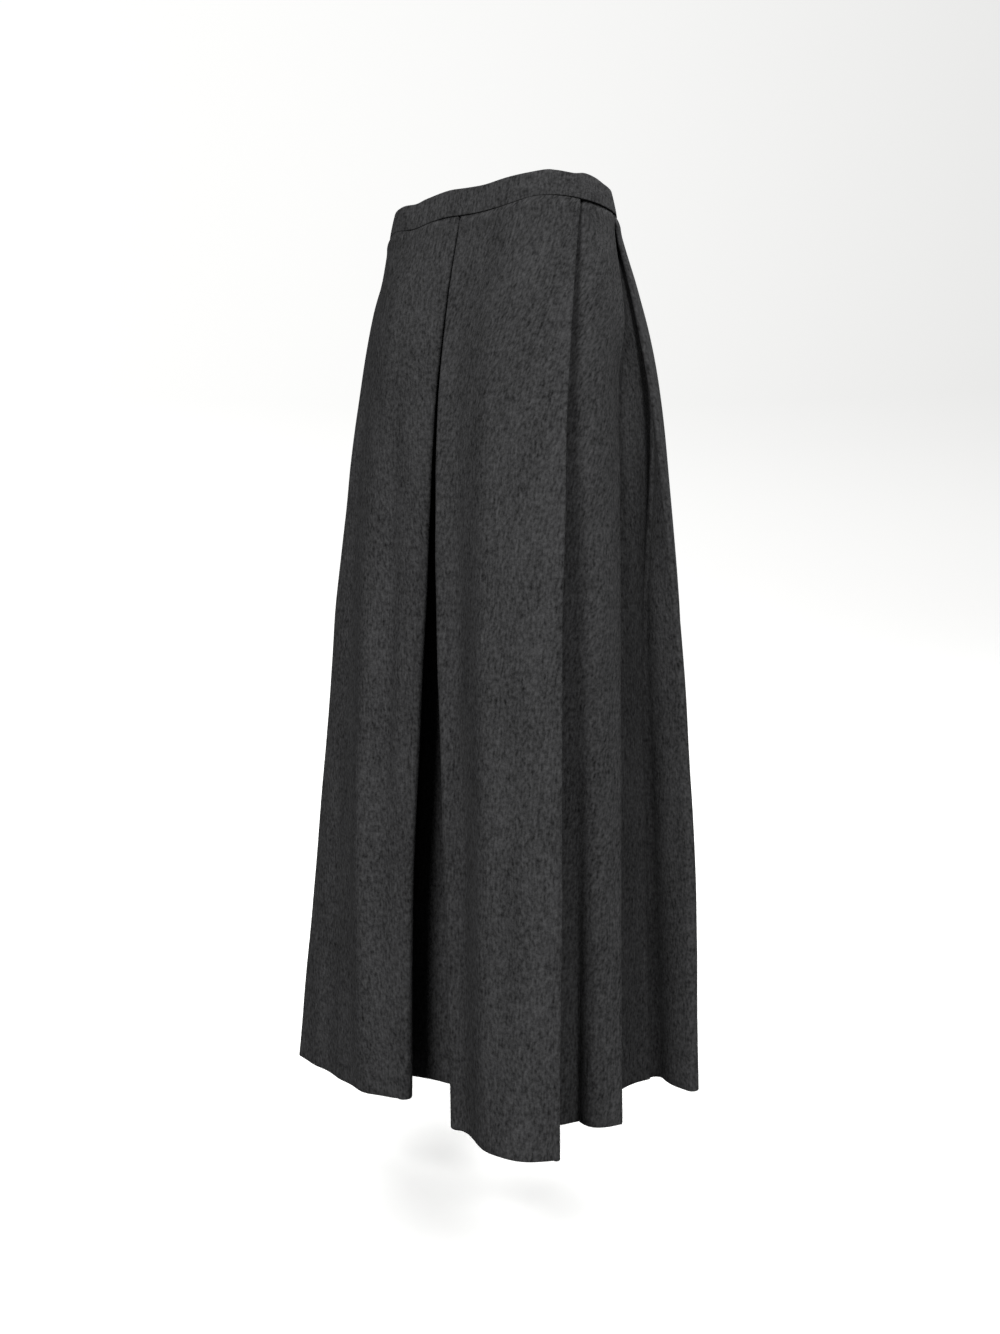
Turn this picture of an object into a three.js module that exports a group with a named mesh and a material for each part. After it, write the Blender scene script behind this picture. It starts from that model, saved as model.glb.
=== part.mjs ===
// Pleated maxi skirt in wool flannel, worn shape with no wearer.
// Millimetres, +Z up, front facing -Y, +X towards the wearer's left.
// The origin is the middle of the waist, half way up the waistband.
import * as THREE from 'three';

// ---- driving dimensions -------------------------------------------------------------

const BAND_HEIGHT = 27;          // waistband, sewn height
const BAND_WALL = 3;             // band: cloth, interfacing, cloth
const BAND_TAPER = 6;            // how much the band's top edge lies inside its seam
const BAND_LAP = 24;             // overlap of the band's ends at the centre back
const BAND_LAP_EASE = 40;        // run in which the under end slides below the upper one
const WALL = 1.6;                // skirt cloth
const SKIRT_LENGTH = 900;        // from the waist seam to the hem
const SEAM_GAP = 0.3;            // pieces stand this far apart at a seam
const POCKET_WALL = 1.4;         // the two flat layers of a pocket bag, as one wall
const ZIP_WALL = 1.2;            // zip tape

// the waist seam seen from above: a rounded ring, |x/a|^n + |y/b|^n = 1
const WAIST = { halfWidth: 129, halfDepth: 70, squareness: 3.06 };

const SEAM_Z = -BAND_HEIGHT / 2;             // the waist seam's height
const SKIRT_TOP = SEAM_Z - SEAM_GAP;         // where the skirt's cloth starts

// heights are drops below the waist seam
const STATIONS = [0, 80, 200, 400, 650, SKIRT_LENGTH];   // where the fold tables give places
const ROWS = [0, 30, 75, 130, 200, 280, 370, 470, 580, 690, 800, SKIRT_LENGTH];   // sections of a wall

const CLOTH = { color: 0x474747, roughness: 0.95, metalness: 0 };
const BAG_CLOTH = { color: 0x2c2c2c, roughness: 0.9, metalness: 0 };
const TAPE = { color: 0x2a2a2a, roughness: 0.8, metalness: 0 };

// ---- small maths -------------------------------------------------------------------

const mix = (a, b, t) => a + (b - a) * t;

/** Smooth curve through values at the given places (a cubic with finite-difference slopes). */
function smooth(places, values, at) {
  const last = places.length - 1;
  const slope = (i) => {
    const a = Math.max(i - 1, 0);
    const b = Math.min(i + 1, last);
    return (values[b] - values[a]) / (places[b] - places[a]);
  };
  let i = 0;
  while (i < last - 1 && at > places[i + 1]) i += 1;
  const span = places[i + 1] - places[i];
  const t = (at - places[i]) / span;
  const t2 = t * t;
  const t3 = t2 * t;
  return (2 * t3 - 3 * t2 + 1) * values[i] + (t3 - 2 * t2 + t) * span * slope(i)
    + (3 * t2 - 2 * t3) * values[i + 1] + (t3 - t2) * span * slope(i + 1);
}

/** The ring as a table of places by arc length, from the centre front to the wearer's left. */
function makeRing({ halfWidth, halfDepth, squareness }) {
  const count = 1440;
  const point = (k) => {
    const a = (2 * Math.PI * k) / count;
    const power = (v) => Math.sign(v) * Math.abs(v) ** (2 / squareness);
    return new THREE.Vector2(halfWidth * power(Math.sin(a)), -halfDepth * power(Math.cos(a)));
  };
  const points = [point(0)];
  const runs = [0];
  for (let k = 1; k <= count; k += 1) {
    points.push(point(k));
    runs.push(runs[k - 1] + points[k].distanceTo(points[k - 1]));
  }
  const around = runs[count];
  return { points, runs, around };
}

const ring = makeRing(WAIST);

/** Point on the waist seam at a run, moved inside it by an inset. */
function onRing(run, inset) {
  const at = ((run % ring.around) + ring.around) % ring.around;
  let low = 0;
  let high = ring.runs.length - 1;
  while (high - low > 1) {
    const middle = (low + high) >> 1;
    if (ring.runs[middle] <= at) low = middle;
    else high = middle;
  }
  const t = (at - ring.runs[low]) / (ring.runs[high] - ring.runs[low]);
  const p = ring.points[low].clone().lerp(ring.points[high], t);
  const along = ring.points[high].clone().sub(ring.points[low]).normalize();
  return p.add(new THREE.Vector2(-along.y, along.x).multiplyScalar(inset));
}

// ---- fold tables -------------------------------------------------------------------
// One row for each fold line, in the order of the cloth, from the wearer's right to left.
//   run     place along the waist seam, from the centre front, + to the wearer's left
//   inset   how far inside the seam line the layer lies at the waist
//   at      [x, forward] at each of the lower STATIONS
//   turn    fold radius at the waist and at the hem, 0 where the cloth just passes
//   under   which stretch is the lower layer at this fold, the one before or the one after
//   steps   divisions of the stretch from this line to the next one
//   ease    how late along that stretch its inset changes, 1 unless given
//   crown   how far that stretch bulges outward at each of the lower STATIONS
//   skew    1 crowns in the middle, more moves the crown towards the next line, less back

const FRONT = [
  { name: 'right side seam', run: -195, inset: 0, turn: [0, 0], steps: 6, skew: 1.25, ease: 3,
    at: [[-139, -18], [-147, -8], [-163, 10], [-179, 30], [-193, 47]], crown: [12, 12, 10, 9, 8] },
  { name: 'under right knife fold', run: -144, inset: 6, turn: [0, 0], steps: 2, skew: 1,
    at: [[-128, 37], [-137, 52], [-146, 66], [-154, 75], [-163, 82]], crown: [2, 2, 2, 2, 2] },
  { name: 'right knife pleat, inner fold', run: -112, inset: 4.5, turn: [1.5, 8], under: 'before',
    steps: 3, skew: 1,
    at: [[-108, 60], [-114, 71], [-119, 79], [-123, 85], [-127, 92]], crown: [0, 1, 0, 0, 0] },
  { name: 'right knife pleat, edge', run: -142, inset: 1.5, turn: [1.5, 7], under: 'before',
    steps: 14, skew: 0.62,
    at: [[-136, 52], [-149, 66], [-163, 84], [-178, 99], [-196, 113]], crown: [18, 14, 11, 8, 6] },
  { name: 'centre pleat, right edge', run: 3.4, inset: 1.5, turn: [1.5, 7], under: 'after',
    steps: 3, skew: 1,
    at: [[-4, 80], [-12, 92], [-14, 106], [-18, 120], [-12, 134]], crown: [0, 0, 0, 0, 0] },
  { name: 'centre pleat, right inner fold', run: -32, inset: 4.5, turn: [1.5, 9], under: 'after',
    steps: 8, skew: 1,
    at: [[-36, 68], [-46, 66], [-58, 62], [-68, 72], [-74, 92]], crown: [-1, -2, -6, -12, -16] },
  { name: 'centre pleat, left inner fold', run: 40, inset: 4.5, turn: [1.5, 9], under: 'before',
    steps: 3, skew: 1,
    at: [[40, 70], [46, 74], [58, 74], [78, 82], [98, 99]], crown: [0, 0, 0, 0, 0] },
  { name: 'centre pleat, left edge', run: 6.2, inset: 1.5, turn: [1.5, 8], under: 'before',
    steps: 14, skew: 1.6,
    at: [[1, 81], [-2, 95], [14, 115], [43, 137], [69, 157]], crown: [18, 14, 12, 13, 15] },
  { name: 'left knife pleat, edge', run: 142, inset: 1.5, turn: [1.5, 7], under: 'after', steps: 3, skew: 1,
    at: [[134, 50], [145, 75], [163, 106], [181, 132], [196, 153]], crown: [0, 1, 0, 0, 0] },
  { name: 'left knife pleat, inner fold', run: 112, inset: 4.5, turn: [1.5, 8], under: 'after',
    steps: 2, skew: 1,
    at: [[108, 58], [113, 77], [120, 96], [124, 109], [128, 118]], crown: [2, 2, 2, 2, 2] },
  { name: 'under left knife fold', run: 144, inset: 6, turn: [0, 0], steps: 6, skew: 0.8, ease: 0.3,
    at: [[127, 36], [136, 49], [145, 57], [151, 62], [156, 67]], crown: [12, 12, 13, 14, 15] },
  { name: 'left side seam', run: 195, inset: 0, turn: [0, 0], steps: 0, skew: 1,
    at: [[139, -18], [147, -8], [163, 10], [179, 30], [193, 47]], crown: [0, 0, 0, 0, 0] },
];

const BACK_LEFT = [
  { name: 'side seam', run: 195, inset: 2.6, turn: [0, 0], steps: 3, skew: 1,
    at: [[136.4, -18], [144.4, -8.6], [160.6, 9], [176.9, 28.6], [191, 45.3]], crown: [-1, -1, 0, 2, 3] },
  { name: 'side pleat, front inner fold', run: 170, inset: 10.5, turn: [1.5, 14], under: 'after',
    steps: 4, skew: 1,
    at: [[125, 2], [135, 3], [142, 8], [140, 13], [138, 18]], crown: [4, 5, 4, 0, -5] },
  { name: 'side pleat, back inner fold', run: 226, inset: 4.5, turn: [1.5, 8], under: 'before',
    steps: 5, skew: 1,
    at: [[124, -60], [137, -69], [143, -70], [137, -68], [130, -66]], crown: [-1, -2, -3, -3, -3] },
  { name: 'side pleat, back edge', run: 199.6, inset: 1.5, turn: [1.5, 7], under: 'before',
    steps: 8, skew: 1,
    ease: 3,
    at: [[143, -40], [163, -53], [185, -62], [200, -68], [204, -73]], crown: [22, 24, 22, 18, 16] },
  { name: 'under back knife fold', run: 270, inset: 6, turn: [0, 0], steps: 2, skew: 1,
    at: [[78, -78], [92, -96], [99, -104], [106, -110], [112, -116]], crown: [0, 0, 0, 0, 0] },
  { name: 'back knife pleat, inner fold', run: 302, inset: 4.5, turn: [1.5, 8], under: 'before',
    steps: 3, skew: 1,
    at: [[46, -81], [56, -99], [62, -106], [70, -113], [78, -121]], crown: [0, 0, 0, 0, 0] },
  { name: 'back knife pleat, edge', run: 272, inset: 1.5, turn: [1.5, 7], under: 'before', steps: 7, skew: 1,
    at: [[77, -85], [92, -106], [101, -118], [112, -133], [123, -147]], crown: [3, 3, 4, 5, 6] },
  { name: 'centre back', run: ring.around / 2 - SEAM_GAP, inset: 0, turn: [0, 0], steps: 0, skew: 1,
    at: [[0.6, -88], [0.6, -111], [0.6, -122], [0.6, -137], [0.6, -153]], crown: [0, 0, 0, 0, 0] },
];

// Soft creases: long troughs (depth > 0) or ridges (< 0) that run down a stretch.
//   place   across the stretch, 0 to 1, at each of the lower STATIONS
//   width   half width in mm, at the waist and at the hem
//   depth   at each of the lower STATIONS
const CREASES = [
  { stretch: 'right knife pleat, edge', place: [0.14, 0.14, 0.15, 0.21, 0.26], width: [14, 18],
    depth: [0.5, 3.6, 5.5, 7.4, 4] },
  { stretch: 'right knife pleat, edge', place: [0.42, 0.42, 0.42, 0.48, 0.52], width: [13, 16],
    depth: [0, 0, -3, -4.4, -2.4] },
  { stretch: 'right knife pleat, edge', place: [0.6, 0.62, 0.66, 0.69, 0.73], width: [11, 13],
    depth: [0, 2.6, 4.7, 4.6, 1.6] },
  { stretch: 'right knife pleat, edge', place: [0.93, 0.93, 0.92, 0.91, 0.9], width: [8, 18],
    depth: [-0.4, -1, -2, -2.6, -3] },
  { stretch: 'centre pleat, left edge', place: [0.12, 0.13, 0.14, 0.12, 0.08], width: [11, 13],
    depth: [0.6, 3.8, 5.9, 5.3, 2] },
  { stretch: 'centre pleat, left edge', place: [0.39, 0.4, 0.38, 0.31, 0.24], width: [14, 17],
    depth: [-1.2, -3.7, -5.4, -5.4, -3] },
  { stretch: 'centre pleat, left edge', place: [0.62, 0.62, 0.62, 0.59, 0.56], width: [20, 22],
    depth: [0, 0, 0.2, 2.8, 2.4] },
  { stretch: 'centre pleat, left edge', place: [0.86, 0.86, 0.86, 0.87, 0.88], width: [16, 18],
    depth: [0, 0, -0.2, -2.3, -2] },
  { stretch: 'side pleat, back inner fold', place: [0.42, 0.42, 0.42, 0.42, 0.42], width: [11, 12],
    depth: [0, 0, 0, 3.5, 4] },
  { stretch: 'side pleat, back inner fold', place: [0.74, 0.74, 0.74, 0.72, 0.72], width: [11, 11],
    depth: [0, 0, 0, -2.3, -3] },
  { stretch: 'side pleat, back edge', place: [0.45, 0.45, 0.47, 0.5, 0.5], width: [16, 26],
    depth: [0.3, 2, 4, 6, 7] },
  { stretch: 'back knife pleat, edge', place: [0.5, 0.5, 0.48, 0.46, 0.45], width: [14, 24],
    depth: [0.5, 2, 4, 5, 6] },
];

// the flat pocket bag: how much of the side panel it lies behind, 0 at the mouth
const POCKET_ROWS = [
  { drop: 6, start: 0.25, end: 0.8 },
  { drop: 50, start: 0.25, end: 0.86 },
  { drop: 100, start: 0.25, end: 0.88 },
  { drop: 150, start: 0.25, end: 0.88 },
  { drop: 200, start: 0.25, end: 0.88 },
  { drop: 245, start: 0.28, end: 0.84 },
  { drop: 275, start: 0.32, end: 0.72 },
  { drop: 288, start: 0.42, end: 0.6 },
];
const POCKET_STEPS = 8;
const POCKET_EASE = 1.9;         // air between the bag and the panel in front of it
const BAND_STEPS = 72;
const ZIP = { top: 4, length: 190, halfWidth: 11, steps: 4, rows: 5, lean: 0.6 };

// ---- sections ----------------------------------------------------------------------

/** Place of a fold line at a drop, as a plan point. */
function linePoint(line, drop) {
  const top = onRing(line.run, line.inset);
  const xs = [top.x, ...line.at.map(([x]) => x)];
  const ys = [top.y, ...line.at.map(([, forward]) => -forward)];
  return new THREE.Vector2(smooth(STATIONS, xs, drop), smooth(STATIONS, ys, drop));
}

const PRESSED = 40;              // down to this drop the folds still point along the seam
const LAYER = 1.5;               // a folded layer's inset from the middle of its fold
const FOLD_ANGLES = [-90, -45, 0, 45, 90];       // points round a fold, in degrees

/** The round of one fold, from the arriving layer to the leaving one. */
function turnPoints(before, line, after, drop) {
  const tip = linePoint(line, drop);
  if (!line.under) return [tip];
  const radius = mix(...line.turn, drop / SKIRT_LENGTH);
  const heading = Math.sign(line.run - before.run);
  const ahead = onRing(line.run + 1, line.inset).sub(onRing(line.run - 1, line.inset)).normalize();
  const arriving = tip.clone().sub(linePoint(before, drop)).normalize();
  const leaving = linePoint(after, drop).sub(tip).normalize();
  const out = arriving.sub(leaving).normalize();
  out.lerp(ahead.multiplyScalar(heading), Math.max(0, 1 - drop / PRESSED)).normalize();
  const left = heading * (line.under === 'after' ? 1 : -1);
  const across = new THREE.Vector2(-out.y, out.x).multiplyScalar(left);
  const centre = tip.clone().addScaledVector(out, -radius);
  return FOLD_ANGLES.map((degrees) => {
    const a = THREE.MathUtils.degToRad(degrees);
    return centre.clone()
      .addScaledVector(out, radius * Math.cos(a))
      .addScaledVector(across, radius * Math.sin(a));
  });
}

/** Layer inset at the waist where a stretch leaves (or reaches) a fold line. */
function layerInset(table, i, leaving) {
  const line = table[i];
  if (!line.under) return line.inset;
  return line.inset + ((line.under === 'after') === leaving ? LAYER : -LAYER);
}

/** How far a stretch's point stands off the straight line between its ends. */
function crownVector(table, i, s, drop, chord) {
  const line = table[i];
  const insetA = layerInset(table, i, true);
  const insetB = layerInset(table, i + 1, false);
  const ringEnds = [onRing(line.run, insetA), onRing(table[i + 1].run, insetB)];
  const inset = mix(insetA, insetB, s ** (line.ease ?? 1));
  const ringPoint = onRing(mix(line.run, table[i + 1].run, s), inset);
  const atWaist = ringPoint.sub(ringEnds[0].lerp(ringEnds[1], s));
  const outward = new THREE.Vector2(chord.y, -chord.x).normalize();
  if (table[i + 1].run < line.run) outward.negate();
  const rise = Math.sin(Math.PI * s ** line.skew);
  const lower = line.crown.map((crown) => crown * rise);
  for (const crease of CREASES) {
    if (crease.stretch !== line.name) continue;
    const middle = smooth(STATIONS, [crease.place[0], ...crease.place], drop);
    const width = mix(...crease.width, drop / SKIRT_LENGTH) / Math.max(chord.length(), 1);
    const bell = Math.exp(-(((s - middle) / width) ** 2));
    crease.depth.forEach((depth, k) => { lower[k] -= depth * bell; });
  }
  const offWaist = smooth(STATIONS, [0, ...lower], drop);
  const fade = smooth(STATIONS, [1, 0, 0, 0, 0, 0], drop);
  return outward.multiplyScalar(offWaist).addScaledVector(atWaist, Math.max(fade, 0));
}

/** One stretch between two folds: its inner points, ends left out. */
function stretchPoint(table, i, start, end, s, drop) {
  const chord = end.clone().sub(start);
  return start.clone().addScaledVector(chord, s).add(crownVector(table, i, s, drop, chord));
}

/** The whole section of a piece at a drop, as plan points in the order of its cloth. */
function section(table, drop) {
  const turns = table.map((line, i) => turnPoints(table[Math.max(i - 1, 0)], line,
    table[Math.min(i + 1, table.length - 1)], drop));
  const points = [];
  for (let i = 0; i < table.length; i += 1) {
    points.push(...turns[i]);
    for (let k = 1; k < table[i].steps; k += 1) {
      points.push(stretchPoint(table, i, turns[i].at(-1), turns[i + 1][0], k / table[i].steps, drop));
    }
  }
  return points;
}

// ---- walls -------------------------------------------------------------------------

/** Unit-wall offsets of a plan line to its right, mitred at the corners. */
function offsets(points) {
  const edges = points.slice(1).map((p, i) => p.clone().sub(points[i]).normalize());
  const normal = (edge) => new THREE.Vector2(edge.y, -edge.x);
  return points.map((_, i) => {
    const a = normal(edges[Math.max(i - 1, 0)]);
    const b = normal(edges[Math.min(i, edges.length - 1)]);
    const sum = a.add(b);
    return sum.multiplyScalar(2 / Math.max(sum.lengthSq(), 1.2));
  });
}

/** A closed wall through stacked plan lines: rows of { z, points }, from the top down. */
function wall(name, rows, thickness, finish) {
  const across = rows[0].points.length;
  const positions = [];
  for (const side of [0.5, -0.5]) {
    for (const row of rows) {
      const push = offsets(row.points);
      row.points.forEach((p, i) => {
        positions.push(p.x + push[i].x * thickness * side, p.y + push[i].y * thickness * side, row.z);
      });
    }
  }
  const skin = rows.length * across;
  const index = [];
  const quad = (a, b, c, d) => index.push(a, b, c, a, c, d);
  for (let r = 0; r < rows.length - 1; r += 1) {
    for (let c = 0; c < across - 1; c += 1) {
      const a = r * across + c;
      quad(a, a + across, a + across + 1, a + 1);
      quad(skin + a, skin + a + 1, skin + a + across + 1, skin + a + across);
    }
    const left = r * across;
    const right = left + across - 1;
    quad(left, skin + left, skin + left + across, left + across);
    quad(right, right + across, skin + right + across, skin + right);
  }
  for (let c = 0; c < across - 1; c += 1) {
    const bottom = (rows.length - 1) * across + c;
    quad(c, c + 1, skin + c + 1, skin + c);
    quad(bottom, skin + bottom, skin + bottom + 1, bottom + 1);
  }
  const geometry = new THREE.BufferGeometry();
  geometry.setAttribute('position', new THREE.Float32BufferAttribute(positions, 3));
  geometry.setIndex(index);
  geometry.computeVertexNormals();
  const mesh = new THREE.Mesh(geometry, new THREE.MeshStandardMaterial(finish));
  mesh.name = name;
  return mesh;
}

/** The same rows on the wearer's other side. */
const mirrored = (rows) => rows.map(({ z, points }) => ({
  z, points: points.map((p) => new THREE.Vector2(-p.x, p.y)).reverse(),
}));

const hung = (table) => ROWS.map((drop) => ({ z: SKIRT_TOP - drop, points: section(table, drop) }));

// ---- pieces ------------------------------------------------------------------------

function makeWaistband() {
  const half = ring.around / 2 + BAND_LAP / 2;
  const lapStep = BAND_WALL + 2 * SEAM_GAP;
  const rows = [0, 1].map((down) => ({
    z: BAND_HEIGHT / 2 - down * BAND_HEIGHT,
    points: Array.from({ length: BAND_STEPS + 1 }, (_, k) => {
      const run = mix(-half, half, k / BAND_STEPS);
      const fromEnd = run + half - BAND_LAP;
      const under = THREE.MathUtils.clamp(1 - fromEnd / BAND_LAP_EASE, 0, 1);
      const inset = (1 - down) * BAND_TAPER + lapStep * under ** 2 * (3 - 2 * under);
      return onRing(run, inset);
    }),
  }));
  return wall('waistband', rows, BAND_WALL, CLOTH);
}

function makePocketRows() {
  const seam = FRONT.length - 1;
  const clear = WALL / 2 + POCKET_EASE + POCKET_WALL / 2;
  return POCKET_ROWS.map(({ drop, start, end }) => {
    const near = linePoint(FRONT[seam], drop);
    const far = linePoint(FRONT[seam - 1], drop);
    const line = Array.from({ length: POCKET_STEPS + 1 }, (_, k) => {
      const s = 1 - mix(end, start, k / POCKET_STEPS);
      return stretchPoint(FRONT, seam - 1, far, near, s, drop);
    });
    const push = offsets(line);
    const points = line.map((p, k) => p.clone().addScaledVector(push[k], -clear));
    return { z: SKIRT_TOP - drop, points };
  });
}

function makeZipRows() {
  const clear = WALL / 2 + SEAM_GAP + ZIP_WALL / 2;
  return Array.from({ length: ZIP.rows }, (_, r) => {
    const down = r / (ZIP.rows - 1);
    const drop = ZIP.top + ZIP.length * down;
    const seam = linePoint(BACK_LEFT.at(-1), drop);
    const inset = clear + ZIP.lean * down;
    const points = Array.from({ length: ZIP.steps + 1 }, (_, k) => (
      new THREE.Vector2(mix(ZIP.halfWidth, -ZIP.halfWidth, k / ZIP.steps), seam.y - inset)));
    return { z: SKIRT_TOP - drop, points };
  });
}

const skirt = new THREE.Group();
skirt.add(makeWaistband());
skirt.add(wall('front', hung(FRONT), WALL, CLOTH));
skirt.add(wall('back_left', hung(BACK_LEFT), WALL, CLOTH));
skirt.add(wall('back_right', mirrored(hung(BACK_LEFT)), WALL, CLOTH));
skirt.add(wall('pocket_left', makePocketRows(), POCKET_WALL, BAG_CLOTH));
skirt.add(wall('pocket_right', mirrored(makePocketRows()), POCKET_WALL, BAG_CLOTH));
skirt.add(wall('back_zip', makeZipRows(), ZIP_WALL, TAPE));

export default skirt;
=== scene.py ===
import bisect
import math
from typing import NamedTuple

import bmesh
import bpy
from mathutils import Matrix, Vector, noise


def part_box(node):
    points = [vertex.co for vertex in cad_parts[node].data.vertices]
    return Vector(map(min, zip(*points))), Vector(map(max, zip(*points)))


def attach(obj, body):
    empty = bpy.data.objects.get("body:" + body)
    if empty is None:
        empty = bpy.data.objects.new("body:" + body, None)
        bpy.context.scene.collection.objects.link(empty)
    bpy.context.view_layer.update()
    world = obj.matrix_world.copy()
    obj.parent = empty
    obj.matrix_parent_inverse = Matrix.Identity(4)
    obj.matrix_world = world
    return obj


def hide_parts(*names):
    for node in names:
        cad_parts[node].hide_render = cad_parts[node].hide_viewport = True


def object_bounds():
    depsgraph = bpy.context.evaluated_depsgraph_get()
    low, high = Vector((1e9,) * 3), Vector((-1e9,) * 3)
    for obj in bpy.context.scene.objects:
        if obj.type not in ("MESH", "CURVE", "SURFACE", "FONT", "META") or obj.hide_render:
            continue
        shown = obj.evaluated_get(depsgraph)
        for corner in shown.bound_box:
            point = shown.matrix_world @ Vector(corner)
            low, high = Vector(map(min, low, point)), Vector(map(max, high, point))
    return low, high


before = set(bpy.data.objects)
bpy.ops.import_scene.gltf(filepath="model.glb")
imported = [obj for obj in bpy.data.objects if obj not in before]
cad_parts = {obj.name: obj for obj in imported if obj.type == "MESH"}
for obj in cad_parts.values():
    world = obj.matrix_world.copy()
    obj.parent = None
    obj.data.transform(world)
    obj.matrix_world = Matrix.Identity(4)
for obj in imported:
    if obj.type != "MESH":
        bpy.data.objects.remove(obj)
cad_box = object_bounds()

MM = 0.001

# ---- sizes of the cut ---------------------------------------------------------------

band_low, band_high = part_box("waistband")
front_low, front_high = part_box("front")
BAND_HEIGHT = (band_high.z - band_low.z) / MM
SEAM_HEIGHT = band_low.z / MM            # the waist seam, from the middle of the band
SKIRT_TOP = front_high.z / MM            # where the skirt's cloth leaves the band
SKIRT_LENGTH = (front_high.z - front_low.z) / MM

BAND_LAYER = 1.0       # one layer of the folded band
BAND_SPREAD = 1.05     # its two layers lie this far to each side of the band's middle
BAND_TAPER = 6         # how much the band's top edge lies inside its seam
BAND_LAP = 24          # overlap of the band's ends at the centre back
BAND_LAP_EASE = 40     # run in which the under end slides below the upper one
BAND_LAP_STEP = 3.6    # how far the under end lies inside
BAND_END = (3, 0.52)   # in this last run the two layers close to this spread
BAND_FOLD = 1.4        # radius of the fold along the band's top edge
BAND_HEIGHTS = (5, 9, 13.5, 18, 22)      # rows of cloth up each face of the band
BAND_BULGE_INSIDE, BAND_BULGE_OUTSIDE = 0.12, 0.3
BAND_WAVE = (26, 40, 0.5)                # its unevenness: run, height, depth
BAND_STEPS = 230
SEAM_GAP = 0.3         # pieces stand this far apart at a seam
CLOTH = 1.3            # skirt cloth, brushed side to brushed side
HEM_TURN = 38          # cloth turned up inside the hem
HEM_GAP = 1.7          # from the face layer's middle to the turned-up layer's
ALLOWANCE = 7          # cloth of the skirt that goes up between the band's layers
SHORT_ALLOWANCE = 0.4  # where the band's inner layer is in its way
SHORT_INSET = (1.5, 1.2)                 # middle and reach of the insets where it is
EDGE_WEIGHT, SEAM_WEIGHT = 0.55, 0.6     # how thin the cloth is pressed in the band and at its seam
SEAM_PRESS = 5         # down to this drop the cloth is thinner
SEAM_SWELL = (1.3, 8, 6)                 # swell of the cloth below the seam: size, drop, reach
SEAM_DIP = (0.55, 0, 2.4)                # and its dip into the seam
SWELL_INSET = 2        # cloth further inside than this doesn't swell
WEAR = [(42, 150, 0, 1.5), (17, 70, 9, 0.45)]   # waves from wear: across, down, seed, size
WEAR_FROM = 260        # they reach their full size at this drop
POCKET_BAG = 1.2
ZIP_TAPE = 1.0

# the waist seam seen from above: a rounded ring, |x/a|^n + |y/b|^n = 1
HALF_WIDTH, HALF_DEPTH, SQUARENESS = 129, 70, 3.06

STATIONS = [0, 80, 200, 400, 650, 900]   # drops where the fold tables give places
PRESSED = 40           # down to this drop the folds still point along the seam
LAYER = 1.5            # a folded layer's inset from the middle of its fold
STEP_SPLIT = 3         # columns of cloth in one step of the fold tables
FOLD_COLUMNS = 9       # columns round one fold
ROW_HEIGHT = 6.5       # between two rows of cloth
BACK_EDGE_RUN = 340.2  # where the back's cloth ends at the centre back seam
BACK_EDGE_X = 0.15     # half of the opening that is left at that seam
MITRE = 1.2            # keeps the offset short where the cloth turns sharply


# ---- the folds ----------------------------------------------------------------------

class Fold(NamedTuple):
    """One fold line or sewn line, in the order of the cloth from the wearer's right to left."""
    name: str
    run: float          # place along the waist seam from the centre front, + to the wearer's left
    inset: float        # how far inside the seam line the layer lies at the waist
    turn: tuple         # fold radius at the waist and at the hem
    under: str          # the stretch that is the lower layer here, "before", "after" or none
    steps: int          # divisions of the stretch from this line to the next one
    skew: float         # 1 crowns that stretch in the middle, more moves it on, less back
    at: list            # (x, forward) at each of the lower STATIONS
    crown: list         # how far the stretch bulges outward at each of the lower STATIONS
    ease: float = 1     # how late along the stretch its inset changes


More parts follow.
